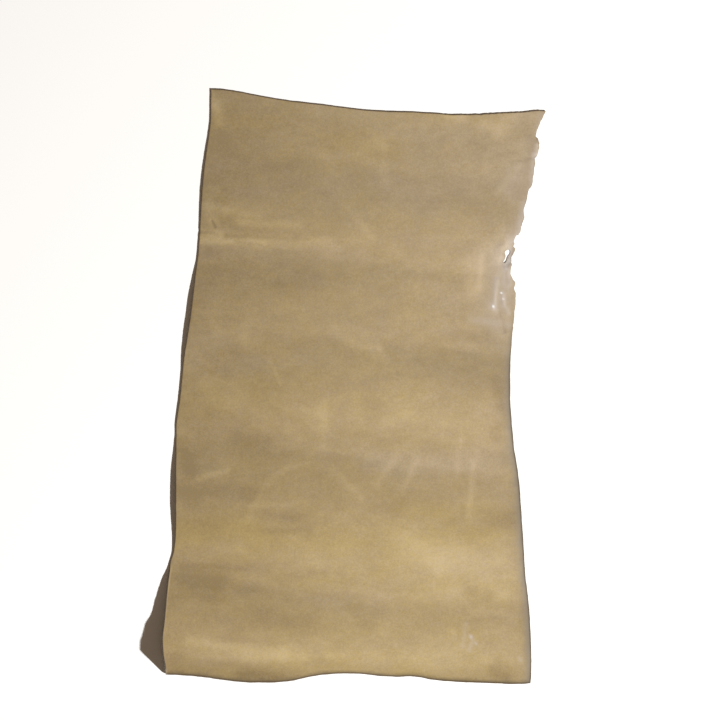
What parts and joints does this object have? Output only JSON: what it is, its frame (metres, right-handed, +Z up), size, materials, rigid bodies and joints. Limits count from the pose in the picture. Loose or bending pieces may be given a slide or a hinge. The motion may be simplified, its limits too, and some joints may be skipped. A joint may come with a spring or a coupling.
{
  "type": "leather hide",
  "caption": "Single sheet of tan leather laid out flat, with low folds from side to side, a curled front margin, one turned-up corner and a ragged edge with nicks and a torn hole.",
  "frame": {"origin": "middle of the hide's box in plan, on the surface that it lies on", "axes": "+Z up, out of the grain side; +Y along the hide's length, away from the end with the turned-up corner; +X towards the ragged edge"},
  "size_m": [0.565, 0.8754, 0.0293],
  "materials": {
    "leather": "smooth semi-gloss grain side"
  },
  "bodies": {
    "root": {"hide": "leather"}
  },
  "joints": []
}
